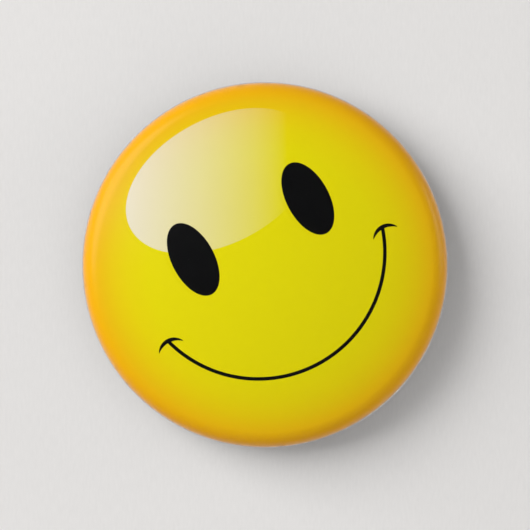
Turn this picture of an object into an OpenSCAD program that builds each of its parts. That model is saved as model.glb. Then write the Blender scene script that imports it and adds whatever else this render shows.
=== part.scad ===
// Round pin-back button badge: a domed tinplate shell with a printed paper face under clear
// film, both tucked round the shell's lip, and a pressed back plate that carries a wire pin.
// The badge stands upright: its face looks along -Y, its flat back land lies in the XZ plane,
// and +Z is the top of the badge as it is worn. The origin is the centre of the back land.

/* [Badge] */
// Outside diameter over the film
badge_d = 57.15; // [45:0.05:75]
// Radius of the dome
dome_r = 130; // [105:1:220]
// Radius of the rolled shoulder between dome and side
shoulder_r = 3.6; // [3:0.1:4.4]
// Straight height of the side between shoulder and curl
side_h = 0.1; // [0.1:0.1:3]
// Radius of the curl from the side to the back land
curl_r = 1.2; // [1:0.05:1.5]
// Width of the flat back land, from the curl to the lip
land_w = 3.6; // [3:0.1:4.4]

/* [Layers] */
// Thickness of the tinplate shell
shell_t = 0.25; // [0.2:0.01:0.3]
// Thickness of the printed paper
paper_t = 0.12; // [0.1:0.01:0.15]
// Thickness of the clear film
film_t = 0.08; // [0.05:0.01:0.1]
// Air left between one layer and the next
layer_gap = 0.01; // [0.01:0.005:0.02]
// Width of the paper and film that is tucked back inside the lip
tuck_w = 1.8; // [1:0.1:2.4]
// Depth of the printed ink in the paper
ink_t = 0.04; // [0.02:0.01:0.06]

/* [Face] */
// Turn of the printed face, seen from the front
face_turn = 0; // [-180:1:180]
// Bare border between the face's widest marks and the dome's edge
face_border = 4.6; // [3.5:0.1:8]
// Bare border between the printed highlight and the dome's edge
highlight_border = 1.1; // [0.6:0.1:3]
// Distance of each eye from the middle of the two, in percent of the face's radius
eye_x = 47; // [35:1:55]
// Height of the eyes above the centre, in percent of the face's radius
eye_y = 28; // [20:1:40]
// Long diameter of an eye, in percent of the face's radius
eye_l = 57.3; // [30:0.1:60]
// Short diameter of an eye, in percent of the face's radius
eye_w = 31; // [15:0.5:40]
// Sideways shift of the pair of eyes, in percent of the face's radius
eye_shift = 3; // [-5:0.5:5]
// Radius of the smile's arc, in percent of the face's radius
smile_r = 92; // [70:1:93]
// Height of the smile arc's centre, in percent of the face's radius
smile_y = 10.5; // [5:0.5:12]
// Angle that the smile spans
smile_span = 147; // [90:1:150]
// Width of the smile's line
smile_w = 0.56; // [0.3:0.02:1.2]
// Length of the cheek mark at each end of the smile
cheek_l = 4.4; // [3:0.1:5]
// Height of a cheek mark's arch
cheek_h = 1.5; // [1:0.1:1.8]
// Width of a cheek mark at its middle
cheek_w = 0.62; // [0.3:0.02:0.8]

/* [Back plate] */
// Thickness of the back plate
plate_t = 0.3; // [0.25:0.01:0.4]
// Air between the edge of the back plate and the inside of the shell
plate_gap = 0.15; // [0.1:0.05:0.4]
// Width of the back plate's flat rim that shows inside the lip
rim_w = 1; // [0.6:0.1:1.6]
// Slope of the recess's wall from the badge's axis, in degrees
wall_slope = 30; // [20:1:36]
// Distance of the stiffening bead's middle from the edge of the recess's floor
bead_in = 2.1; // [1.8:0.1:2.4]
// Width of the stiffening bead
bead_w = 1.8; // [1.4:0.1:2.2]
// Height of the stiffening bead
bead_h = 0.5; // [0.4:0.05:0.7]

/* [Pin] */
// Diameter of the pin wire
wire_d = 0.8; // [0.64:0.02:0.96]
// Height of the pin's coil above the centre of the badge
pin_y = 6; // [4:0.1:7.2]
// Distance of the coil's axis from the edge of the recess's floor
coil_in = 7; // [5:0.1:8]
// Mean radius of the coil
coil_r = 1.5; // [1.25:0.05:1.8]
// Air between the turns of the coil
turn_gap = 0.1; // [0.08:0.01:0.15]
// Tilt of the coil's axis from the badge's axis, in degrees
coil_tilt = 32; // [28:1:36]
// Distance of the pin's point from the edge of the recess's floor
tip_in = 4; // [3:0.1:5]
// Length of the ground point
point_l = 8; // [6:0.1:9.6]
// Distance of the pin's axis from the back land
arm_z = 1.05; // [1:0.05:1.3]
// Distance that the fixed leg runs past the centre line
leg_past = 4; // [3:0.1:4.8]

/* [Catch and straps] */
// Distance of the catch's middle from the pin's point
catch_in = 4.4; // [3.6:0.1:5.3]
// Width of the catch
catch_w = 3; // [2:0.1:3.6]
// Air between the wire and the catch
catch_gap = 0.15; // [0.12:0.01:0.2]
// Thickness of the catch and the straps
strap_t = 0.25; // [0.2:0.01:0.3]
// Width of each strap
strap_w = 2.6; // [2:0.1:3.2]
// Distance of the first strap's middle from the coil's axis
first_strap_in = 4.6; // [4:0.1:5.5]
// Distance of the second strap's middle from the leg's end
second_strap_in = 3.2; // [2:0.1:3.8]
// Reach of a strap to each side of the leg
strap_reach = 2.6; // [2.2:0.1:3.1]
// Air between the leg and what it lies against
strap_gap = 0.03; // [0.02:0.01:0.1]

/* [Hidden] */
fine = 200;
far = 400;
// How far a cut runs past what it cuts, and how far two joined shapes overlap
past = 1;
overlap = 0.1;

badge_r = badge_d / 2;
wire_r = wire_d / 2;

// Depth of each layer's two faces below the outside of the film
paper_top = film_t + layer_gap;
paper_low = paper_top + paper_t;
shell_top = paper_low + layer_gap;
shell_low = shell_top + shell_t;

// The outside of the film: dome, shoulder, side, curl and land
shoulder_x = badge_r - shoulder_r;
shoulder_z = curl_r + side_h;
shoulder_a = asin(shoulder_x / (dome_r - shoulder_r));
dome_z = shoulder_z - (dome_r - shoulder_r) * cos(shoulder_a);
badge_h = dome_z + dome_r;
dome_edge = dome_r * sin(shoulder_a);
curl_x = badge_r - curl_r;
lip_x = curl_x - land_w;
turn_z = shell_top + shell_t / 2;
tuck_z = 2 * turn_z;

// Face
ink_top_r = dome_r - paper_top;
face_r = dome_edge - face_border;
highlight_r = dome_edge - highlight_border;
unit = face_r / 100;
// Height, long and short diameter of the highlight, in percent of the face's radius
highlight_y = 69.5;
highlight_l = 148;
highlight_w = 91;

// Back plate's rim and recess, up to the leg that lies against its floor
rim_z = tuck_z + layer_gap;
rim_r = curl_x + sqrt(pow(curl_r - shell_low, 2) - pow(curl_r - rim_z, 2)) - plate_gap;
// The straight wire starts this far inside the coil's, which is this much thicker to hold it
joint_in = 0.05;
joint_step = 0.005;
turn_off = wire_r + joint_step + turn_gap / 2;
coil_rise = coil_r * sin(coil_tilt) + turn_off * cos(coil_tilt);
coil_side = coil_r * cos(coil_tilt) - turn_off * sin(coil_tilt);
coil_z = arm_z + coil_rise;
leg_z = coil_z + coil_rise;
plate_z = leg_z + wire_r + strap_gap;
dish_low_r = lip_x - rim_w;
dish_top_r = dish_low_r - (plate_z - rim_z) * tan(wall_slope);
bead_x = dish_top_r - bead_in;
bead_r = (pow(bead_w / 2, 2) + pow(bead_h, 2)) / (2 * bead_h);

// Coil, arm and leg
coil_x = dish_top_r - coil_in;
tip_x = dish_top_r - tip_in;
arm_y = pin_y - coil_side;
leg_y = pin_y + coil_side;
coil_arc = 290;
tip_r = 0.04;

// Catch and straps
catch_x = tip_x - catch_in;
catch_r = wire_r + catch_gap;
catch_end = 8;
strap_low = leg_z - wire_r - strap_gap;
// Flat of a strap on each side of the leg, and a sloping foot's width in thicknesses
strap_flat = 0.5;
foot_w = 1.6;
// Half width of a strap's flat top, and the inside of its sloping foot
strap_top = wire_r + strap_flat;
strap_foot = strap_reach - foot_w * strap_t;
strap_xs = [coil_x - first_strap_in, second_strap_in - leg_past];

// Stands the badge up: what is modelled with its face along +Z looks along -Y
module stand() {
    rotate([90, 0, 0]) children();
}

// The part of the half plane x > 0 between two angles about a point
module wedge(x, z, a1, a2) {
    translate([x, z])
        polygon([[0, 0], [far * cos(a1), far * sin(a1)],
                 [far * cos((a1 + a2) / 2), far * sin((a1 + a2) / 2)],
                 [far * cos(a2), far * sin(a2)]]);
}

// Half section of everything inside a given depth below the film's outside
module inside(depth) {
    intersection() {
        translate([0, dome_z]) circle(r = dome_r - depth, $fn = fine);
        wedge(0, dome_z, 90 - shoulder_a, 90);
        translate([0, curl_r]) square([badge_r, badge_h]);
    }
    intersection() {
        translate([shoulder_x, shoulder_z]) circle(r = shoulder_r - depth, $fn = fine);
        translate([0, shoulder_z]) square([badge_r, badge_h]);
    }
    translate([0, curl_r]) square([badge_r - depth, side_h]);
    translate([curl_x, curl_r]) circle(r = curl_r - depth, $fn = fine);
    translate([0, depth]) square([curl_x, curl_r + side_h - depth]);
}

// Dome, shoulder, side, curl and land of a layer between two depths below the film's outside
module layer_band(top, low) {
    difference() {
        inside(top);
        inside(low);
        square([lip_x, curl_r]);
    }
}

// Half section of everything inside a given depth of the turn round the shell's lip
module inside_turn(depth, reach) {
    translate([lip_x, turn_z]) circle(r = turn_z - depth, $fn = fine);
    translate([lip_x, depth]) square([reach, 2 * (turn_z - depth)]);
}

// A layer that is carried round the lip of the shell and tucked back inside it
module tucked_band(top, low) {
    layer_band(top, low);
    difference() {
        inside_turn(top, tuck_w);
        inside_turn(low, tuck_w + past);
    }
}

// A solid of revolution with its face along +Z
module turned() {
    rotate_extrude($fn = 256) children();
}

module clear_film() {
    color("white", 0.3) stand() turned() tucked_band(0, film_t);
}

// A band of a circle's rim, from its outer to its inner radius, between two angles
module arc_band(x, z, outer, inner, a1, a2) {
    intersection() {
        difference() {
            translate([x, z]) circle(r = outer, $fn = fine);
            translate([x, z]) circle(r = inner, $fn = fine);
        }
        wedge(x, z, a1, a2);
    }
}

// An ellipse, with its diameters in percent of the face's radius
module oval(across, up) {
    scale([across * unit / 2, up * unit / 2]) circle(r = 1, $fn = fine);
}

module eyes_outline() {
    rotate(face_turn) for (side = [-1, 1])
        translate([(eye_shift + side * eye_x) * unit, eye_y * unit]) oval(eye_w, eye_l);
}

// A crescent that arches over its two pointed ends
module crescent(l, h, w) {
    top_r = (l * l / 4 + h * h) / (2 * h);
    low_h = h - w;
    low_r = (l * l / 4 + low_h * low_h) / (2 * low_h);
    difference() {
        translate([0, h - top_r]) circle(r = top_r, $fn = fine);
        translate([0, low_h - low_r]) circle(r = low_r, $fn = fine);
    }
}

module smile_outline() {
    half = smile_span / 2;
    line_r = smile_r * unit;
    rotate(face_turn) translate([0, smile_y * unit]) {
        arc_band(0, 0, line_r + smile_w / 2, line_r - smile_w / 2, -90 - half, -90 + half);
        for (side = [-1, 1])
            translate([side * line_r * sin(half), cheek_w / 2 - cheek_h - line_r * cos(half)])
                crescent(cheek_l, cheek_h, cheek_w);
    }
}

module highlight_outline() {
    difference() {
        intersection() {
            rotate(face_turn) translate([0, highlight_y * unit]) oval(highlight_l, highlight_w);
            circle(r = highlight_r, $fn = fine);
        }
        eyes_outline();
    }
}

// The space over an outline, down to the ink's depth in the paper's face
module ink_space() {
    difference() {
        linear_extrude(badge_h + past) children();
        translate([0, 0, dome_z]) sphere(r = ink_top_r - ink_t, $fn = 256);
    }
}

module ink() {
    stand() intersection() {
        ink_space() children();
        translate([0, 0, dome_z]) sphere(r = ink_top_r, $fn = 256);
    }
}

module printed_paper() {
    color("gold") stand() difference() {
        turned() tucked_band(paper_top, paper_low);
        ink_space() eyes_outline();
        ink_space() smile_outline();
        ink_space() highlight_outline();
    }
}

module highlight_ink() {
    color("ivory") ink() highlight_outline();
}

module eye_inks() {
    color("black") ink() eyes_outline();
}

module smile_ink() {
    color("black") ink() smile_outline();
}

module front_shell() {
    color("silver") stand() turned() layer_band(shell_top, shell_low);
}

// Half section of the pressed back plate: rim, sloping wall, bead and floor
module plate_section() {
    lean = plate_t * tan(45 - wall_slope / 2);
    mid_z = plate_z + bead_r - bead_h;
    translate([dish_low_r, rim_z]) square([rim_r - dish_low_r, plate_t]);
    polygon([[dish_low_r, rim_z], [dish_low_r + lean, rim_z + plate_t],
             [dish_top_r + lean, plate_z + plate_t], [dish_top_r, plate_z]]);
    polygon([[dish_low_r, rim_z], [dish_low_r + lean + overlap, rim_z],
             [dish_low_r + lean + overlap, rim_z + plate_t], [dish_low_r + lean, rim_z + plate_t]]);
    difference() {
        union() {
            translate([0, plate_z]) square([dish_top_r + lean, plate_t]);
            intersection() {
                translate([bead_x, mid_z]) circle(r = bead_r, $fn = 72);
                translate([0, plate_z - bead_h]) square([dish_top_r, bead_h + plate_t]);
            }
        }
        translate([bead_x, mid_z]) circle(r = bead_r - plate_t, $fn = 72);
    }
}

// The J-shaped catch, as a section across the wire, with its stem up to the plate
module catch_section() {
    arc_band(0, 0, catch_r + strap_t, catch_r, -90 - catch_end, 0);
    translate([catch_r, 0]) square([strap_t, plate_z - arm_z + plate_t / 2]);
}

// A strap over the leg, as a section across the wire
module strap_section() {
    sunk = plate_z + plate_t / 2;
    polygon([[-strap_reach, sunk], [-strap_reach, plate_z], [-strap_top, strap_low - strap_t],
             [strap_top, strap_low - strap_t], [strap_reach, plate_z], [strap_reach, sunk],
             [strap_foot, sunk], [strap_foot, plate_z], [strap_top - strap_t / 2, strap_low],
             [strap_t / 2 - strap_top, strap_low], [-strap_foot, plate_z], [-strap_foot, sunk]]);
}

// Lays a section in the YZ plane, spread evenly along X
module across(w) {
    rotate([90, 0, 90]) translate([0, 0, -w / 2]) linear_extrude(w) children();
}

module back_plate() {
    stem_l = plate_z - arm_z + catch_r;
    color("lightgray") stand() {
        difference() {
            turned() plate_section();
            for (x = strap_xs)
                translate([x, leg_y, plate_z])
                    cube([strap_w, 2 * strap_foot, 4 * plate_t], center = true);
            translate([-catch_x - catch_w / 2, arm_y + catch_r + strap_t, plate_z - plate_t])
                cube([catch_w, stem_l, 4 * plate_t]);
        }
        for (x = strap_xs) translate([x, leg_y, 0]) across(strap_w) strap_section();
        translate([-catch_x, arm_y, arm_z]) across(catch_w) catch_section();
    }
}

// One turn of the coil in its own plane, ending in the wire that leaves along -X on one side
module turn(side) {
    mirror([0, side < 0 ? 1 : 0, 0]) rotate(90 - coil_arc)
        rotate_extrude(angle = coil_arc, $fn = 96) translate([coil_r, 0])
            circle(r = wire_r + joint_step, $fn = 48);
}

// Puts the coil's own frame in place: its Z is the coil's axis, and its -X is along the wire
module at_coil() {
    translate([coil_x, pin_y, coil_z]) rotate([coil_tilt, 0, 0]) children();
}

module pin_leg() {
    color("silver") stand() {
        at_coil() translate([0, 0, turn_off]) turn(1);
        translate([coil_x + joint_in, leg_y, leg_z]) rotate([0, -90, 0])
            cylinder(r = wire_r, h = joint_in + coil_x + leg_past, $fn = 72);
    }
}

module pin_arm() {
    shank_l = joint_in + coil_x + tip_x - point_l;
    color("silver") stand() {
        at_coil() translate([0, 0, -turn_off]) turn(-1);
        translate([coil_x + joint_in, arm_y, arm_z]) rotate([0, -90, 0]) rotate_extrude($fn = 72)
            polygon([[0, 0], [wire_r, 0], [wire_r, shank_l], [tip_r, shank_l + point_l],
                     [0, shank_l + point_l]]);
    }
}

clear_film();
printed_paper();
highlight_ink();
eye_inks();
smile_ink();
front_shell();
back_plate();
pin_leg();
pin_arm();
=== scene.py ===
"""Round pin-back button badge: printed paper under clear film on a tinplate shell, with a wire pin."""

import math

import bmesh
import bpy
from mathutils import Matrix, Vector


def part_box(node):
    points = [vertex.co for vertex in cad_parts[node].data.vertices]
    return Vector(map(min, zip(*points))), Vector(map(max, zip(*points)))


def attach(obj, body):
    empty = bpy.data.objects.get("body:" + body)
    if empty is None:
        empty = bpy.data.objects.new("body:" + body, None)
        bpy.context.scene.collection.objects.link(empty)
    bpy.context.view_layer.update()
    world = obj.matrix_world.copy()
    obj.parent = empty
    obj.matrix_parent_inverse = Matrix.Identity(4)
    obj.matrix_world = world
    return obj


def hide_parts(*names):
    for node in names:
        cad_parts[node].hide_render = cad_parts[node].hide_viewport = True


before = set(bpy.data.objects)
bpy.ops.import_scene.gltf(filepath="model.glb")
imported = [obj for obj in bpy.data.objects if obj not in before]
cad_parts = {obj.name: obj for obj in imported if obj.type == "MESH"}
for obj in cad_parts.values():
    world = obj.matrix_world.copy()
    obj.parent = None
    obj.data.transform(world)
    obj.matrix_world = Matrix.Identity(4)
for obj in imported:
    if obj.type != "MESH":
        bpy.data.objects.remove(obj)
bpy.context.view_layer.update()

bl_info = {
    "name": "Button badge",
    "version": (1, 0, 0),
    "blender": (4, 5, 0),
    "location": "View3D > Sidebar > Badge",
    "description": "Builds a pin-back button badge around its CAD frame",
    "category": "Object",
}

MM = 0.001
BADGE_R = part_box("clear_film")[1].x

# Steps round a turned piece, and along each stretch of its half section
TURNS = 288
DOME_STEPS, SHOULDER_STEPS, CURL_STEPS = 44, 22, 14
LAND_STEPS, FOLD_STEPS, TUCK_STEPS = 4, 10, 2

# Rings and steps that fill an eye and the highlight, and steps along and across the thin lines
EYE_GRID, HIGHLIGHT_GRID = (14, 96), (26, 144)
SMILE_STEPS = 120
CHEEK_STEPS, CHEEK_ROWS = 40, 3

# Edges that bend less than this many degrees are shaded smooth
SMOOTH_TURNED, SMOOTH_PLATE, SMOOTH_WIRE, SMOOTH_INK = 50, 28, 50, 40
# Points nearer to each other than this, in metres, become one
MERGE_TURNED, MERGE_MESH, MERGE_INK = 2e-7, 1e-7, 1e-8

# How far the face leans in the view, and where across the view the highlight fades out
FACE_TURN = math.radians(28)
HIGHLIGHT_FADE = (-23.7 * MM, 3.4 * MM)

# Heights of the inks' two faces over the paper, inside the air below the film
BLACK_TOP, BLACK_LOW = 0.006 * MM, 0.004 * MM
CREAM_TOP, CREAM_LOW = 0.003 * MM, 0.001 * MM

# Stage: a card behind the badge, standing on a floor. Its round window is wider than the badge,
# which covers it only because it is nearer the camera
CARD_Y = 0.004
CARD_T = 0.0004
CARD_HALF = 0.6
CARD_STEPS = 128
CARD_HOLE = BADGE_R + 0.4 * MM
FLOOR_Z = -0.6
FLOOR_FRONT = -0.5
FLOOR_HALF = 2.0

# The view is this many badge diameters wide, about where the badge is widest
VIEW_SPAN = 1.452
WIDEST_Y = 1.0 * MM
LENS = 100.0
VIEW_NEAR, VIEW_FAR = 0.01, 10

# Light from the room: on surfaces from in front and from the sides, as gloss shows it, and as
# the open room behind everything looks
FRONT_LIGHT = 0.60
SIDE_LIGHT = 0.05
ROOM_GLOSS = 0.55
ROOM_GLOSS_FRONT = 0.008
ROOM_SEEN = 0.72
ROOM_COLOUR = "#F2F2F3"
# Degrees from straight ahead where the light from in front is still whole, and where it has gone
FRONT_CORE = 35
FRONT_EDGE = 75

# The softboxes in front and at the side: degrees around the view from its right, degrees away
# from straight ahead, then distance, size and power
KEY = (152, 54, 1.2, 0.9, 15.4)
FILL = (12, 88, 1.0, 0.5, 3.4)
# The softbox behind, for the badge's back: its direction, then distance, size and power
BACK_WAY = Vector((-0.35, 0.8, 0.6))
BACK_AWAY, BACK_SIZE, BACK_POWER = 0.9, 0.7, 7.0


def linear(text):
    """The linear colour of an sRGB hex value such as #E5DA00."""
    parts = [int(text[i : i + 2], 16) / 255 for i in (1, 3, 5)]
    return tuple(c / 12.92 if c <= 0.04045 else ((c + 0.055) / 1.055) ** 2.4 for c in parts)


# Properties


def length(name, description, millimetres):
    """A length property, in metres."""
    return bpy.props.FloatProperty(
        name=name, description=description, default=millimetres * MM, unit="LENGTH", precision=5
    )


def percent(name, description, value):
    """A printed size, in percent of the face's radius."""
    return bpy.props.FloatProperty(
        name=name, description=description, default=value, precision=1, subtype="PERCENTAGE"
    )


def colour(name, description, text):
    """A colour property whose default is an sRGB hex value."""
    return bpy.props.FloatVectorProperty(
        name=name, description=description, default=linear(text), subtype="COLOR", min=0, max=1
    )


class BadgeSizes(bpy.types.PropertyGroup):
    """Sizes of the badge's folded layers."""

    dome_r: length("Dome radius", "Radius of the dome over the film", 130.0)
    shoulder_r: length("Shoulder radius", "Radius of the rolled shoulder", 3.6)
    side_h: length("Side height", "Straight side between shoulder and curl", 0.1)
    curl_r: length("Curl radius", "Radius of the curl to the back land", 1.2)
    land_w: length("Land width", "Width of the flat back land", 3.6)
    tuck_w: length("Tuck width", "Paper and film tucked back inside the lip", 1.8)
    film_t: length("Film thickness", "Thickness of the clear film", 0.08)
    paper_t: length("Paper thickness", "Thickness of the printed paper", 0.12)
    shell_t: length("Shell thickness", "Thickness of the tinplate shell", 0.25)
    gap: length("Layer gap", "Air between one layer and the next", 0.01)


class BadgeArt(bpy.types.PropertyGroup):
    """Sizes of the printed face."""

    face_r: length("Face radius", "Radius that the printed face is drawn in", 21.086)
    eye_x: percent("Eye spacing", "Each eye's distance from the middle of the two", 47.0)
    eye_y: percent("Eye height", "Height of the eyes above the centre", 28.0)
    eye_l: percent("Eye length", "Long diameter of an eye", 57.3)
    eye_w: percent("Eye width", "Short diameter of an eye", 31.0)
    eye_shift: percent("Eye shift", "Sideways shift of the pair of eyes", 3.0)
    smile_r: percent("Smile radius", "Radius of the smile's arc", 92.0)
    smile_y: percent("Smile height", "Height of the smile arc's centre", 10.5)
    smile_span: bpy.props.FloatProperty(
        name="Smile span",
        description="Angle that the smile spans",
        default=math.radians(147),
        subtype="ANGLE",
    )
    smile_w: length("Smile line", "Width of the smile's line", 0.56)
    cheek_l: length("Cheek length", "Length of the mark at each end of the smile", 4.4)
    cheek_h: length("Cheek height", "Height of a cheek mark's arch", 1.5)
    cheek_w: length("Cheek line", "Width of a cheek mark at its middle", 0.62)
    highlight_y: percent("Highlight height", "Height of the highlight's centre", 69.5)
    highlight_l: percent("Highlight length", "Long diameter of the highlight", 148.0)
    highlight_w: percent("Highlight width", "Short diameter of the highlight", 91.0)
    highlight_edge: length("Highlight limit", "Largest distance of the highlight", 24.58)


class BadgeColours(bpy.types.PropertyGroup):
    """Colours of the inks, the metals and the stage."""

    middle: colour("Ground middle", "Printed ground at the centre", "#E1D700")
    rim: colour("Ground rim", "Printed ground on the rolled edge", "#EA9F0C")
    cream: colour("Highlight", "Cream ink of the highlight", "#E3DCCB")
    black: colour("Black ink", "Ink of the eyes and smile", "#020203")
    tin: colour("Tinplate", "Bright tinned steel", "#C9C9C6")
    nickel: colour("Pin wire", "Nickel-plated wire", "#D6D2C8")
    card: colour("Backing card", "Plain pale card behind the badge", "#E2E0DE")


# Node helpers


def add(tree, kind, settings=None, **links):
    """Adds a node, sets its attributes and sets or links its inputs by name or number."""
    node = tree.nodes.new(kind)
    for name, value in (settings or {}).items():
        setattr(node, name, value)
    for name, value in links.items():
        numbered = name.startswith("in") and name[2:].isdigit()
        socket = node.inputs[int(name[2:]) if numbered else name.replace("_", " ")]
        if isinstance(value, bpy.types.NodeSocket):
            tree.links.new(value, socket)
        else:
            socket.default_value = value
    return node


def new_material(name):
    """An empty material with its output node."""
    mat = bpy.data.materials.new(name)
    mat.use_nodes = True
    mat.node_tree.nodes.clear()
    out = mat.node_tree.nodes.new("ShaderNodeOutputMaterial")
    return mat, mat.node_tree, out


def rgba(c):
    """A colour with full opacity."""
    return (*c, 1.0)


def axis_radius(tree, place):
    """Distance from the badge's axis, as a share of the badge's radius."""
    flat = add(tree, "ShaderNodeVectorMath", {"operation": "MULTIPLY"}, in0=place, in1=(1, 0, 1))
    far = add(tree, "ShaderNodeVectorMath", {"operation": "LENGTH"}, in0=flat.outputs[0])
    return add(
        tree, "ShaderNodeMath", {"operation": "DIVIDE"}, in0=far.outputs["Value"], in1=BADGE_R
    ).outputs[0]


# Materials. Each pattern's size and depth is taken as usual for its material and isn't measured.
# Rolling and drawing lines are finer in reality, and are this coarse so that they show

PRINT_MOTTLE = 0.5 * MM
PRINT_SHEEN = 0.9 * MM
PAPER_TOOTH, TOOTH_DEPTH = 0.25 * MM, 0.004 * MM
INK_UNEVEN = 0.6 * MM
FILM_HAZE = 2.5 * MM
FILM_WAVE, WAVE_DEPTH = 1.4 * MM, 0.004 * MM
ROLL_LINE, ROLL_DEPTH = 0.18 * MM, 0.0015 * MM
TIN_SPANGLE = 2.2 * MM
DRAW_LINE, DRAW_DEPTH = 0.1 * MM, 0.002 * MM
PLATING = 1.5 * MM
CARD_FIBRE, FIBRE_DEPTH = 0.4 * MM, 0.012 * MM

# Lines are stretched along the piece: their size across as a share of their size along
ROLL_STRETCH, DRAW_STRETCH, FIBRE_STRETCH = 0.012, 0.06, 0.22
# Share of the colour at the darkest and the palest spots
MOTTLE_TONE, CARD_TONE = (0.965, 1.03), (0.955, 1.035)
# Roughness at the brightest and the dullest spots
PRINT_ROUGH, FILM_ROUGH = (0.38, 0.5), (0.2, 0.32)
ROLL_ROUGH, SPANGLE_ROUGH, WIRE_ROUGH = (0.1, 0.26), (0.06, 0.14), (0.1, 0.24)
# Colour of a metal's dullest spots, as a share of its own
DULL_TIN, DULL_NICKEL = 0.86, 0.85
# Black ink where it is thin: this many times its own colour, and this much grey
THIN_INK, THIN_GREY = 1.8, 0.0003
# Gloss of the ink under its film, and the share that the film reflects seen square on
PRINT_GLOSS, FILM_GLOSS = 0.02, 0.005

# The printed ground: how far from the axis, and how much of the rim's colour is in the ink there
GROUND_STOPS = (
    (0.00, 0.00),
    (0.62, 0.04),
    (0.74, 0.16),
    (0.82, 0.34),
    (0.88, 0.55),
    (0.94, 0.78),
    (1.00, 1.00),
)
# The fold takes the rim's colour from this share of the curl's radius up to all of it
FOLD_START = 0.6


def ground_colour(tree, place):
    """The printed ground: yellow in the middle, going smoothly to orange at the rolled edge."""
    ink, sizes = bpy.context.scene.badge_colours, bpy.context.scene.badge_sizes
    depth = add(tree, "ShaderNodeSeparateXYZ", Vector=place).outputs[1]
    folded = add(
        tree,
        "ShaderNodeMapRange",
        Value=depth,
        From_Min=-sizes.curl_r,
        From_Max=-sizes.curl_r * FOLD_START,
    ).outputs[0]
    share = add(
        tree, "ShaderNodeMath", {"operation": "MAXIMUM"}, in0=axis_radius(tree, place), in1=folded
    ).outputs[0]
    ramp = add(tree, "ShaderNodeValToRGB", Fac=share)
    bands = ramp.color_ramp
    while len(bands.elements) < len(GROUND_STOPS):
        bands.elements.new(0.5)
    for element, (at, orange) in zip(bands.elements, GROUND_STOPS):
        element.position = at
        element.color = rgba([a + (b - a) * orange for a, b in zip(ink.middle, ink.rim)])
    mottle = add(
        tree, "ShaderNodeTexNoise", Vector=place, Scale=1 / PRINT_MOTTLE, Detail=4.0
    ).outputs[0]
    dark, pale = MOTTLE_TONE
    grain = add(tree, "ShaderNodeMapRange", Value=mottle, To_Min=dark, To_Max=pale).outputs[0]
    return add(
        tree, "ShaderNodeVectorMath", {"operation": "SCALE"}, in0=ramp.outputs[0], Scale=grain
    ).outputs[0]


def print_shader(tree, out, base, place):
    """Offset ink on coated art paper: half matt under its film, with the sheet's faint tooth."""
    sheen = add(tree, "ShaderNodeTexNoise", Vector=place, Scale=1 / PRINT_SHEEN, Detail=3.0).outputs[0]
    bright, dull = PRINT_ROUGH
    rough = add(tree, "ShaderNodeMapRange", Value=sheen, To_Min=bright, To_Max=dull).outputs[0]
    tooth = add(tree, "ShaderNodeTexNoise", Vector=place, Scale=1 / PAPER_TOOTH, Detail=5.0).outputs[0]
    raised = add(tree, "ShaderNodeBump", Strength=1.0, Distance=TOOTH_DEPTH, Height=tooth).outputs[0]
    shader = add(
        tree,
        "ShaderNodeBsdfPrincipled",
        Base_Color=base,
        Roughness=rough,
        IOR=1.5,
        Specular_IOR_Level=PRINT_GLOSS,
        Normal=raised,
    )
    tree.links.new(shader.outputs[0], out.inputs[0])


def coated_paper():
    """Coated art paper, offset printed and laminated: even saturated ink with a slight mottle."""
    mat, tree, out = new_material("printed art paper")
    place = add(tree, "ShaderNodeTexCoord").outputs["Object"]
    print_shader(tree, out, ground_colour(tree, place), place)
    return mat


def black_ink():
    """Solid black offset ink: dense, faintly uneven where the ink took to the sheet."""
    mat, tree, out = new_material("black offset ink")
    place = add(tree, "ShaderNodeTexCoord").outputs["Object"]
    uneven = add(
        tree, "ShaderNodeTexNoise", Vector=place, Scale=1 / INK_UNEVEN, Detail=4.0
    ).outputs[0]
    ink = bpy.context.scene.badge_colours.black
    thin = [c * THIN_INK + THIN_GREY for c in ink]
    base = add(
        tree, "ShaderNodeMix", {"data_type": "RGBA"}, in0=uneven, in6=rgba(ink), in7=rgba(thin)
    ).outputs[2]
    print_shader(tree, out, base, place)
    return mat


def cream_ink():
    """A cream tint screened away to nothing on one side, so the yellow ground comes through."""
    mat, tree, out = new_material("cream screened ink")
    cream = bpy.context.scene.badge_colours.cream
    place = add(tree, "ShaderNodeTexCoord").outputs["Object"]
    across = tuple(view_vector(1, 0, 0))
    run = add(
        tree, "ShaderNodeVectorMath", {"operation": "DOT_PRODUCT"}, in0=place, in1=across
    ).outputs["Value"]
    start, end = HIGHLIGHT_FADE
    fade = add(
        tree, "ShaderNodeMapRange", Value=run, From_Min=start, From_Max=end, To_Min=1.0, To_Max=0.0
    ).outputs[0]
    ground = ground_colour(tree, place)
    base = add(
        tree, "ShaderNodeMix", {"data_type": "RGBA"}, in0=fade, in6=ground, in7=rgba(cream)
    ).outputs[2]
    print_shader(tree, out, base, place)
    return mat


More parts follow.
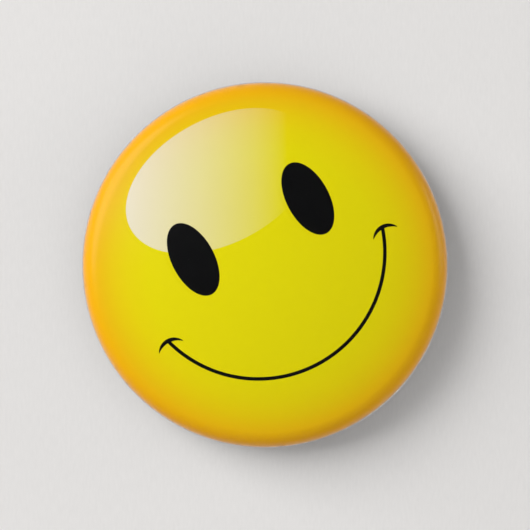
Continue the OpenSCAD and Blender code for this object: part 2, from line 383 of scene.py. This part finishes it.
def polyester_film():
    """Clear polyester film, drawn tight: sharp gloss with faint rolling lines and handling haze."""
    mat, tree, out = new_material("polyester film")
    place = add(tree, "ShaderNodeTexCoord").outputs["Object"]
    haze = add(tree, "ShaderNodeTexNoise", Vector=place, Scale=1 / FILM_HAZE, Detail=5.0).outputs[0]
    bright, dull = FILM_ROUGH
    rough = add(tree, "ShaderNodeMapRange", Value=haze, To_Min=bright, To_Max=dull).outputs[0]
    wave = add(tree, "ShaderNodeTexNoise", Vector=place, Scale=1 / FILM_WAVE, Detail=2.0).outputs[0]
    waves = add(tree, "ShaderNodeBump", Strength=0.5, Distance=WAVE_DEPTH, Height=wave).outputs[0]
    # a share of light that rises towards the edge as it does on plastic, the same on both faces
    facing = add(tree, "ShaderNodeLayerWeight", Blend=0.5, Normal=waves).outputs["Facing"]
    steep = add(tree, "ShaderNodeMath", {"operation": "POWER"}, in0=facing, in1=5.0).outputs[0]
    share = add(tree, "ShaderNodeMapRange", Value=steep, To_Min=FILM_GLOSS, To_Max=1.0).outputs[0]
    clear = add(tree, "ShaderNodeBsdfTransparent")
    gloss = add(tree, "ShaderNodeBsdfGlossy", Roughness=rough, Normal=waves)
    both = add(tree, "ShaderNodeMixShader", in0=share, in1=clear.outputs[0], in2=gloss.outputs[0])
    tree.links.new(both.outputs[0], out.inputs[0])
    return mat


def tinplate():
    """Bright tinned steel strip, cold rolled: soft mirror with fine lines along the rolling way."""
    mat, tree, out = new_material("bright tinplate")
    tin = bpy.context.scene.badge_colours.tin
    dull = [c * DULL_TIN for c in tin]
    place = add(tree, "ShaderNodeTexCoord").outputs["Object"]
    rolling = (ROLL_STRETCH, 1.0, 1.0)
    rolled = add(tree, "ShaderNodeMapping", Vector=place, Scale=rolling).outputs[0]
    lines = add(tree, "ShaderNodeTexNoise", Vector=rolled, Scale=1 / ROLL_LINE, Detail=3.0).outputs[0]
    spangle = add(
        tree, "ShaderNodeTexNoise", Vector=place, Scale=1 / TIN_SPANGLE, Detail=3.0
    ).outputs[0]
    fine, broad = (
        add(tree, "ShaderNodeMapRange", Value=pattern, To_Min=low, To_Max=high).outputs[0]
        for pattern, (low, high) in ((lines, ROLL_ROUGH), (spangle, SPANGLE_ROUGH))
    )
    rough = add(tree, "ShaderNodeMath", {"operation": "ADD"}, in0=fine, in1=broad).outputs[0]
    base = add(
        tree, "ShaderNodeMix", {"data_type": "RGBA"}, in0=spangle, in6=rgba(tin), in7=rgba(dull)
    ).outputs[2]
    grooves = add(tree, "ShaderNodeBump", Strength=1.0, Distance=ROLL_DEPTH, Height=lines).outputs[0]
    shader = add(
        tree,
        "ShaderNodeBsdfPrincipled",
        Base_Color=base,
        Metallic=1.0,
        Roughness=rough,
        Normal=grooves,
    )
    tree.links.new(shader.outputs[0], out.inputs[0])
    return mat


def plated_wire():
    """Nickel-plated spring wire, drawn through a die: bright, with faint lines along its length."""
    mat, tree, out = new_material("nickel-plated wire")
    nickel = bpy.context.scene.badge_colours.nickel
    dull = [c * DULL_NICKEL for c in nickel]
    place = add(tree, "ShaderNodeTexCoord").outputs["Object"]
    drawing = (DRAW_STRETCH, 1.0, 1.0)
    drawn = add(tree, "ShaderNodeMapping", Vector=place, Scale=drawing).outputs[0]
    lines = add(tree, "ShaderNodeTexNoise", Vector=drawn, Scale=1 / DRAW_LINE, Detail=3.0).outputs[0]
    smooth, worn = WIRE_ROUGH
    rough = add(tree, "ShaderNodeMapRange", Value=lines, To_Min=smooth, To_Max=worn).outputs[0]
    cloud = add(tree, "ShaderNodeTexNoise", Vector=place, Scale=1 / PLATING, Detail=3.0).outputs[0]
    base = add(
        tree, "ShaderNodeMix", {"data_type": "RGBA"}, in0=cloud, in6=rgba(nickel), in7=rgba(dull)
    ).outputs[2]
    grooves = add(tree, "ShaderNodeBump", Strength=1.0, Distance=DRAW_DEPTH, Height=lines).outputs[0]
    shader = add(
        tree,
        "ShaderNodeBsdfPrincipled",
        Base_Color=base,
        Metallic=1.0,
        Roughness=rough,
        Normal=grooves,
    )
    tree.links.new(shader.outputs[0], out.inputs[0])
    return mat


def pale_card():
    """Uncoated laid paper: matt and pale, with soft fibres and faint lines one way."""
    mat, tree, out = new_material("pale laid paper")
    card = tuple(bpy.context.scene.badge_colours.card)
    place = add(tree, "ShaderNodeTexCoord").outputs["Object"]
    along = view_vector(0, 1, 0)
    lean = (0, -math.atan2(along.x, along.z), 0)
    turned = add(tree, "ShaderNodeMapping", Vector=place, Rotation=lean).outputs[0]
    fibrous = (1.0, 1.0, FIBRE_STRETCH)
    drawn = add(tree, "ShaderNodeMapping", Vector=turned, Scale=fibrous).outputs[0]
    laid = add(tree, "ShaderNodeTexNoise", Vector=drawn, Scale=1 / CARD_FIBRE, Detail=3.0).outputs[0]
    dark, pale = CARD_TONE
    tone = add(tree, "ShaderNodeMapRange", Value=laid, To_Min=dark, To_Max=pale).outputs[0]
    base = add(
        tree, "ShaderNodeVectorMath", {"operation": "SCALE"}, in0=card, Scale=tone
    ).outputs[0]
    fibres = add(tree, "ShaderNodeBump", Strength=1.0, Distance=FIBRE_DEPTH, Height=laid).outputs[0]
    shader = add(
        tree,
        "ShaderNodeBsdfPrincipled",
        Base_Color=base,
        Roughness=0.9,
        Specular_IOR_Level=0.1,
        Normal=fibres,
    )
    tree.links.new(shader.outputs[0], out.inputs[0])
    return mat


# Shapes


def view_vector(right, up, out):
    """A direction given as the camera sees it, right, up and towards it, in the row frame."""
    c, s = math.cos(FACE_TURN), math.sin(FACE_TURN)
    return Vector((right * c + up * s, -out, up * c - right * s))


def around_view(around, down):
    """A direction by its turn about the view, from the right, and its angle down from it."""
    a, d = math.radians(around), math.radians(down)
    return view_vector(math.cos(a) * math.sin(d), math.sin(a) * math.sin(d), math.cos(d))


def dome_axis():
    """Height of the dome's centre over the back land, with the shoulder's place and angle."""
    s = bpy.context.scene.badge_sizes
    shoulder_x = BADGE_R - s.shoulder_r
    angle = math.asin(shoulder_x / (s.dome_r - s.shoulder_r))
    shoulder_z = s.curl_r + s.side_h
    return shoulder_z - (s.dome_r - s.shoulder_r) * math.cos(angle), shoulder_x, shoulder_z, angle


def arc(x, z, r, start, end, steps):
    """Points of an arc about (x, z), both ends included, angles in radians."""
    turns = [start + (end - start) * i / steps for i in range(steps + 1)]
    return [(x + r * math.cos(a), z + r * math.sin(a)) for a in turns]


def layer_path(depth, tucked):
    """Half section of a layer's face at a depth below the film's outside, from pole to edge."""
    s = bpy.context.scene.badge_sizes
    dome_z, shoulder_x, shoulder_z, angle = dome_axis()
    quarter = math.pi / 2
    curl_x = BADGE_R - s.curl_r
    lip_x = curl_x - s.land_w
    path = arc(0, dome_z, s.dome_r - depth, quarter, quarter - angle, DOME_STEPS)
    path += arc(shoulder_x, shoulder_z, s.shoulder_r - depth, quarter - angle, 0, SHOULDER_STEPS)[1:]
    path += arc(curl_x, s.curl_r, s.curl_r - depth, 0, -quarter, CURL_STEPS)
    path += [(lip_x + s.land_w * i / LAND_STEPS, depth) for i in range(LAND_STEPS - 1, 0, -1)]
    if not tucked:
        return path + [(lip_x, depth)]
    turn_z = s.film_t + s.paper_t + 2 * s.gap + s.shell_t / 2
    path += arc(lip_x, turn_z, turn_z - depth, -quarter, -3 * quarter, FOLD_STEPS)
    tucks = range(1, TUCK_STEPS + 1)
    return path + [(lip_x + s.tuck_w * i / TUCK_STEPS, 2 * turn_z - depth) for i in tucks]


def turning_tree():
    """A tree that turns a closed half section round the badge's axis."""
    tree = bpy.data.node_groups.new("Turned section", "GeometryNodeTree")
    face = tree.interface
    face.new_socket("Section", in_out="INPUT", socket_type="NodeSocketGeometry")
    steps = face.new_socket("Steps round", in_out="INPUT", socket_type="NodeSocketInt")
    steps.default_value = TURNS
    face.new_socket("Finish", in_out="INPUT", socket_type="NodeSocketMaterial")
    face.new_socket("Turned", in_out="OUTPUT", socket_type="NodeSocketGeometry")
    given = tree.nodes.new("NodeGroupInput")
    section, around, finish = given.outputs[:3]
    # a grid with a row for each point of the section, and one row and one column to close it
    points = add(tree, "GeometryNodeAttributeDomainSize", Geometry=section).outputs[0]
    rows = add(tree, "ShaderNodeMath", {"operation": "ADD"}, in0=points, in1=1.0).outputs[0]
    columns = add(tree, "ShaderNodeMath", {"operation": "ADD"}, in0=around, in1=1.0).outputs[0]
    grid = add(tree, "GeometryNodeMeshGrid", Vertices_X=rows, Vertices_Y=columns).outputs[0]
    # the row and column of each of its points
    index = add(tree, "GeometryNodeInputIndex").outputs[0]
    inside = add(tree, "ShaderNodeMath", {"operation": "ADD"}, in0=index, in1=0.5).outputs[0]
    passed = add(tree, "ShaderNodeMath", {"operation": "DIVIDE"}, in0=inside, in1=columns).outputs[0]
    row = add(tree, "ShaderNodeMath", {"operation": "FLOOR"}, in0=passed).outputs[0]
    before = add(tree, "ShaderNodeMath", {"operation": "MULTIPLY"}, in0=row, in1=columns).outputs[0]
    column = add(tree, "ShaderNodeMath", {"operation": "SUBTRACT"}, in0=index, in1=before).outputs[0]
    # the section's point for that row, turned by the column's angle
    wrapped = add(tree, "ShaderNodeMath", {"operation": "MODULO"}, in0=row, in1=points).outputs[0]
    place = add(tree, "GeometryNodeInputPosition").outputs[0]
    sampled = add(
        tree,
        "GeometryNodeSampleIndex",
        {"data_type": "FLOAT_VECTOR"},
        Geometry=section,
        Value=place,
        Index=wrapped,
    ).outputs[0]
    far, deep, _ = add(tree, "ShaderNodeSeparateXYZ", Vector=sampled).outputs
    part = add(tree, "ShaderNodeMath", {"operation": "DIVIDE"}, in0=column, in1=around).outputs[0]
    angle = add(tree, "ShaderNodeMath", {"operation": "MULTIPLY"}, in0=part, in1=math.tau).outputs[0]
    cosine = add(tree, "ShaderNodeMath", {"operation": "COSINE"}, in0=angle).outputs[0]
    sine = add(tree, "ShaderNodeMath", {"operation": "SINE"}, in0=angle).outputs[0]
    x = add(tree, "ShaderNodeMath", {"operation": "MULTIPLY"}, in0=far, in1=cosine).outputs[0]
    z = add(tree, "ShaderNodeMath", {"operation": "MULTIPLY"}, in0=far, in1=sine).outputs[0]
    turned = add(tree, "ShaderNodeCombineXYZ", X=x, Y=deep, Z=z).outputs[0]
    moved = add(tree, "GeometryNodeSetPosition", Geometry=grid, Position=turned).outputs[0]
    joined = add(
        tree, "GeometryNodeMergeByDistance", Geometry=moved, Distance=MERGE_TURNED
    ).outputs[0]
    real = add(tree, "GeometryNodeRealizeInstances", Geometry=joined).outputs[0]
    painted = add(tree, "GeometryNodeSetMaterial", Geometry=real, Material=finish).outputs[0]
    out = tree.nodes.new("NodeGroupOutput")
    tree.links.new(painted, out.inputs[0])
    return tree


def outward(mesh, smooth_degrees):
    """Recalculates a closed mesh's normals outwards and shades it smooth up to an angle."""
    limit = math.radians(smooth_degrees)
    bm = bmesh.new()
    bm.from_mesh(mesh)
    bmesh.ops.remove_doubles(bm, verts=bm.verts, dist=MERGE_MESH)
    bmesh.ops.recalc_face_normals(bm, faces=bm.faces)
    if bm.calc_volume(signed=True) < 0:
        bmesh.ops.reverse_faces(bm, faces=bm.faces)
    for edge in bm.edges:
        edge.smooth = len(edge.link_faces) == 2 and edge.calc_face_angle(0) < limit
    for polygon in bm.faces:
        polygon.smooth = True
    bm.to_mesh(mesh)
    bm.free()


def shown(name, mesh, body, node):
    """Links a finished mesh as a piece that rides on a body and stands for a CAD node."""
    piece = bpy.data.objects.new(name, mesh)
    bpy.context.scene.collection.objects.link(piece)
    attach(piece, body)
    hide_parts(node)
    return piece


def turned_piece(name, path, finish, node):
    """Turns a closed half section into a solid piece of the badge."""
    flat = bpy.data.meshes.new(name + " section")
    edges = [(i, (i + 1) % len(path)) for i in range(len(path))]
    flat.from_pydata([(r, -z, 0) for r, z in path], edges, [])
    source = bpy.data.objects.new(name + " section", flat)
    bpy.context.scene.collection.objects.link(source)
    turn = source.modifiers.new("Turn", "NODES")
    turn.node_group = bpy.data.node_groups.get("Turned section") or turning_tree()
    face = turn.node_group.interface.items_tree
    sockets = {s.name: s.identifier for s in face if s.in_out == "INPUT"}
    turn[sockets["Steps round"]] = TURNS
    turn[sockets["Finish"]] = finish
    graph = bpy.context.evaluated_depsgraph_get()
    mesh = bpy.data.meshes.new_from_object(source.evaluated_get(graph))
    source.modifiers.clear()
    bpy.data.objects.remove(source)
    outward(mesh, SMOOTH_TURNED)
    mesh.name = name
    return shown(name, mesh, "badge", node)


def dome_point(x, z, depth):
    """The point of the dome at a depth below the film's outside."""
    s = bpy.context.scene.badge_sizes
    r = s.dome_r - depth
    return Vector((x, -(dome_axis()[0] + math.sqrt(r * r - x * x - z * z)), z))


def ink_patch(bm, rows, top, low, closed):
    """A thin solid of ink that follows the dome, from rows of points in the badge's plane."""
    grid = [[bm.verts.new(dome_point(x, z, low)) for x, z in row] for row in rows]
    faces = []
    for a, b in zip(grid, grid[1:]):
        count = len(a) if closed else len(a) - 1
        for i in range(count):
            j = (i + 1) % len(a)
            faces.append(bm.faces.new((a[i], a[j], b[j], b[i])))
    raised = bmesh.ops.extrude_face_region(bm, geom=faces, use_keep_orig=True)["geom"]
    for v in raised:
        if isinstance(v, bmesh.types.BMVert):
            v.co = dome_point(v.co.x, v.co.z, top)


def ink_piece(name, patches, top, low, finish, node):
    """One piece of ink from several patches."""
    bm = bmesh.new()
    for rows, closed in patches:
        ink_patch(bm, rows, top, low, closed)
    bmesh.ops.remove_doubles(bm, verts=bm.verts, dist=MERGE_INK)
    bm.normal_update()
    bmesh.ops.recalc_face_normals(bm, faces=bm.faces)
    for polygon in bm.faces:
        polygon.smooth = True
    for edge in bm.edges:
        edge.smooth = edge.calc_face_angle(0) < math.radians(SMOOTH_INK)
    mesh = bpy.data.meshes.new(name)
    mesh.materials.append(finish)
    bm.to_mesh(mesh)
    bm.free()
    return shown(name, mesh, "badge", node)


def oval_rows(x, z, half_x, half_z, grid, limit=None):
    """Rings of points that fill an oval, kept inside a limit from the badge's axis."""
    rings, steps = grid
    rows = []
    for k in range(1, rings + 1):
        row = []
        for i in range(steps):
            a = math.tau * i / steps
            far = Vector((half_x * math.cos(a), half_z * math.sin(a)))
            share = k / rings
            if limit:
                share *= limited(Vector((x, z)), far, limit)
            row.append((x + far.x * share, z + far.y * share))
        rows.append(row)
    return [[(x, z)] * steps] + rows


def limited(centre, far, limit):
    """The share of a reach from centre that stays within a limit from the badge's axis."""
    a, b, c = far.dot(far), centre.dot(far), centre.dot(centre) - limit * limit
    return min(1.0, (-b + math.sqrt(b * b - a * c)) / a)


def copy_of_frame(node, name, body, finish, smooth_degrees):
    """A merged, smooth copy of a CAD node with its finish."""
    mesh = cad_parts[node].data.copy()
    mesh.name = name
    mesh.materials.clear()
    mesh.materials.append(finish)
    if mesh.has_custom_normals:
        mesh.attributes.remove(mesh.attributes["custom_normal"])
    outward(mesh, smooth_degrees)
    return shown(name, mesh, body, node)


# Operators


class BADGE_OT_film(bpy.types.Operator):
    """Make the clear film, folded round the shell's lip"""

    bl_idname = "badge.film"
    bl_label = "Clear film"

    def execute(self, context):
        s = context.scene.badge_sizes
        loop = layer_path(0, True) + layer_path(s.film_t, True)[::-1]
        turned_piece("film", loop, polyester_film(), "clear_film")
        return {"FINISHED"}


class BADGE_OT_paper(bpy.types.Operator):
    """Make the printed paper under the film"""

    bl_idname = "badge.paper"
    bl_label = "Printed paper"

    def execute(self, context):
        s = context.scene.badge_sizes
        top = s.film_t + s.gap
        loop = layer_path(top, True) + layer_path(top + s.paper_t, True)[::-1]
        paper = turned_piece("paper", loop, coated_paper(), "printed_paper")
        # keeps the orange fold from tinting the card beside it
        paper.visible_diffuse = False
        return {"FINISHED"}


class BADGE_OT_shell(bpy.types.Operator):
    """Make the domed tinplate shell"""

    bl_idname = "badge.shell"
    bl_label = "Shell"

    def execute(self, context):
        s = context.scene.badge_sizes
        top = s.film_t + s.paper_t + 2 * s.gap
        loop = layer_path(top, False) + layer_path(top + s.shell_t, False)[::-1]
        turned_piece("shell", loop, tinplate(), "front_shell")
        return {"FINISHED"}


class BADGE_OT_inks(bpy.types.Operator):
    """Print the eyes, the smile and the highlight"""

    bl_idname = "badge.inks"
    bl_label = "Inks"

    def execute(self, context):
        s, art = context.scene.badge_sizes, context.scene.badge_art
        unit = art.face_r / 100
        paper = s.film_t + s.gap
        eyes = [
            (
                oval_rows(
                    (art.eye_shift + side * art.eye_x) * unit,
                    art.eye_y * unit,
                    art.eye_w * unit / 2,
                    art.eye_l * unit / 2,
                    EYE_GRID,
                ),
                True,
            )
            for side in (-1, 1)
        ]
        top, low, black = paper - BLACK_TOP, paper - BLACK_LOW, black_ink()
        ink_piece("eyes", eyes, top, low, black, "eye_inks")
        smile = [(self.line(art, unit), False)] + [
            (self.cheek(art, unit, side), False) for side in (-1, 1)
        ]
        ink_piece("smile", smile, top, low, black, "smile_ink")
        glow = oval_rows(
            0,
            art.highlight_y * unit,
            art.highlight_l * unit / 2,
            art.highlight_w * unit / 2,
            HIGHLIGHT_GRID,
            art.highlight_edge,
        )
        top, low = paper - CREAM_TOP, paper - CREAM_LOW
        patches = [(glow, True)]
        ink_piece("highlight", patches, top, low, cream_ink(), "highlight_ink")
        return {"FINISHED"}

    def line(self, art, unit):
        """Rows across the smile's line."""
        half = art.smile_span / 2
        rows = []
        radii = [art.smile_r * unit + w * art.smile_w for w in (-0.5, 0.0, 0.5)]
        for i in range(SMILE_STEPS + 1):
            a = -math.pi / 2 - half + art.smile_span * i / SMILE_STEPS
            rows.append([(r * math.cos(a), art.smile_y * unit + r * math.sin(a)) for r in radii])
        return rows

    def cheek(self, art, unit, side):
        """Rows across the arched mark at one end of the smile."""
        half = art.smile_span / 2
        x = side * art.smile_r * unit * math.sin(half)
        z = (art.smile_y - art.smile_r * math.cos(half)) * unit + art.cheek_w / 2 - art.cheek_h
        low_h = art.cheek_h - art.cheek_w

        def height(h, u):
            r = (art.cheek_l**2 / 4 + h * h) / (2 * h)
            return math.sqrt(max(r * r - u * u, 0)) - (r - h)

        rows = []
        for i in range(1, CHEEK_STEPS):
            u = art.cheek_l * (i / CHEEK_STEPS - 0.5)
            low, high = height(low_h, u), height(art.cheek_h, u)
            shares = [k / CHEEK_ROWS for k in range(CHEEK_ROWS + 1)]
            rows.append([(x + u, z + low + (high - low) * share) for share in shares])
        return rows


class BADGE_OT_back(bpy.types.Operator):
    """Finish the pressed back plate with its straps and catch"""

    bl_idname = "badge.back_plate"
    bl_label = "Back plate"

    def execute(self, context):
        tin = tinplate()
        copy_of_frame("back_plate", "back_plate_finished", "badge", tin, SMOOTH_PLATE)
        return {"FINISHED"}


class BADGE_OT_pin(bpy.types.Operator):
    """Finish the wire pin's leg and arm"""

    bl_idname = "badge.pin"
    bl_label = "Wire pin"

    def execute(self, context):
        wire = plated_wire()
        copy_of_frame("pin_leg", "pin_leg_finished", "badge", wire, SMOOTH_WIRE)
        copy_of_frame("pin_arm", "pin_arm_finished", "pin", wire, SMOOTH_WIRE)
        return {"FINISHED"}


class BADGE_OT_stage(bpy.types.Operator):
    """Set up the backing card, the floor, the lights and the camera"""

    bl_idname = "badge.stage"
    bl_label = "Stage"

    def execute(self, context):
        finish = pale_card()
        self.card(finish)
        self.floor(finish)
        self.world(context.scene)
        for name, (around, down, *rest) in (("key", KEY), ("fill", FILL)):
            self.lamp(name, around_view(around, down), *rest)
        self.lamp("back", BACK_WAY, BACK_AWAY, BACK_SIZE, BACK_POWER)
        self.camera(context.scene)
        return {"FINISHED"}

    def linked(self, name, data):
        thing = bpy.data.objects.new(name, data)
        bpy.context.scene.collection.objects.link(thing)
        return thing

    def card(self, finish):
        """A card standing behind the badge, with a round window that shows the badge's back."""
        angles = [math.tau * i / CARD_STEPS for i in range(CARD_STEPS)]
        inner = [(CARD_HOLE * math.cos(a), CARD_HOLE * math.sin(a)) for a in angles]
        reach = [CARD_HALF / max(abs(math.cos(a)), abs(math.sin(a))) for a in angles]
        outer = [(r * math.cos(a), max(r * math.sin(a), FLOOR_Z)) for a, r in zip(angles, reach)]
        depths = (CARD_Y, CARD_Y + CARD_T)
        verts = [(x, y, z) for y in depths for ring in (inner, outer) for x, z in ring]
        a, b, c, d = (CARD_STEPS * k for k in range(4))
        faces = []
        for i in range(CARD_STEPS):
            j = (i + 1) % CARD_STEPS
            faces += [
                (a + i, a + j, b + j, b + i),
                (c + j, c + i, d + i, d + j),
                (a + j, a + i, c + i, c + j),
                (b + i, b + j, d + j, d + i),
            ]
        mesh = bpy.data.meshes.new("backing card")
        mesh.from_pydata(verts, [], faces)
        mesh.materials.append(finish)
        return self.linked("backing_card", mesh)

    def floor(self, finish):
        """A plain floor that the card stands on."""
        mesh = bpy.data.meshes.new("floor")
        side, front = FLOOR_HALF, FLOOR_FRONT
        corners = [(-side, front), (side, front), (side, side), (-side, side)]
        mesh.from_pydata([(x, y, FLOOR_Z) for x, y in corners], [], [(0, 1, 2, 3)])
        mesh.materials.append(finish)
        return self.linked("floor", mesh)

    def world(self, scene):
        """Soft room light from in front, dark there in the gloss, and pale where it is open."""
        world = bpy.data.worlds.new("studio")
        world.use_nodes = True
        tree = world.node_tree
        tree.nodes.clear()
        way = add(tree, "ShaderNodeTexCoord").outputs["Generated"]
        front = add(
            tree, "ShaderNodeVectorMath", {"operation": "DOT_PRODUCT"}, in0=way, in1=(0, -1, 0)
        ).outputs["Value"]
        edge, core = (math.cos(math.radians(a)) for a in (FRONT_EDGE, FRONT_CORE))
        light, seen = (
            add(
                tree,
                "ShaderNodeMapRange",
                {"interpolation_type": "SMOOTHSTEP"},
                Value=front,
                From_Min=edge,
                From_Max=core,
                To_Min=sides,
                To_Max=ahead,
            ).outputs[0]
            for sides, ahead in ((SIDE_LIGHT, FRONT_LIGHT), (ROOM_GLOSS, ROOM_GLOSS_FRONT))
        )
        rays = add(tree, "ShaderNodeLightPath").outputs
        glossy, direct = rays["Is Glossy Ray"], rays["Is Camera Ray"]
        level = add(tree, "ShaderNodeMix", in0=glossy, in2=light, in3=seen).outputs[0]
        level = add(tree, "ShaderNodeMix", in0=direct, in2=level, in3=ROOM_SEEN).outputs[0]
        ground = add(tree, "ShaderNodeBackground", Color=rgba(linear(ROOM_COLOUR)), Strength=level)
        out = tree.nodes.new("ShaderNodeOutputWorld")
        tree.links.new(ground.outputs[0], out.inputs[0])
        scene.world = world

    def lamp(self, name, way, away, size, power):
        """A square softbox that faces the badge."""
        light = bpy.data.lights.new(name, "AREA")
        light.energy = power
        light.size = size
        thing = self.linked(name, light)
        thing.location = way.normalized() * away
        thing.rotation_euler = way.to_track_quat("Z", "Y").to_euler()

    def camera(self, scene):
        """A long lens straight in front, turned so that the face leans to its left."""
        lens = bpy.data.cameras.new("camera")
        lens.lens = LENS
        half = lens.sensor_width / 2 / lens.lens
        eye = self.linked("camera", lens)
        right, up = view_vector(1, 0, 0), view_vector(0, 1, 0)
        back = Vector((0, -1, 0))
        turn = Matrix((right, up, back)).transposed().to_4x4()
        away = VIEW_SPAN * BADGE_R / half
        eye.matrix_world = Matrix.Translation(back * (away + WIDEST_Y)) @ turn
        lens.clip_start, lens.clip_end = VIEW_NEAR, VIEW_FAR
        scene.camera = eye
        scene.view_settings.view_transform = "Standard"


class BADGE_PT_panel(bpy.types.Panel):
    """Lists the badge's pieces."""

    bl_label = "Button badge"
    bl_space_type = "VIEW_3D"
    bl_region_type = "UI"
    bl_category = "Badge"

    def draw(self, context):
        for step in STEPS:
            self.layout.operator(step.bl_idname)
        for group in ("badge_sizes", "badge_art", "badge_colours"):
            settings = getattr(context.scene, group)
            for name in settings.__annotations__:
                self.layout.prop(settings, name)


STEPS = (
    BADGE_OT_film,
    BADGE_OT_paper,
    BADGE_OT_inks,
    BADGE_OT_shell,
    BADGE_OT_back,
    BADGE_OT_pin,
    BADGE_OT_stage,
)
GROUPS = {"badge_sizes": BadgeSizes, "badge_art": BadgeArt, "badge_colours": BadgeColours}


def register():
    for kind in (*GROUPS.values(), *STEPS, BADGE_PT_panel):
        bpy.utils.register_class(kind)
    for name, kind in GROUPS.items():
        setattr(bpy.types.Scene, name, bpy.props.PointerProperty(type=kind))


def unregister():
    for name in GROUPS:
        delattr(bpy.types.Scene, name)
    for kind in reversed((*GROUPS.values(), *STEPS, BADGE_PT_panel)):
        bpy.utils.unregister_class(kind)


def main():
    register()
    for step in STEPS:
        space, name = step.bl_idname.split(".")
        getattr(getattr(bpy.ops, space), name)()


if __name__ == "__main__":
    main()
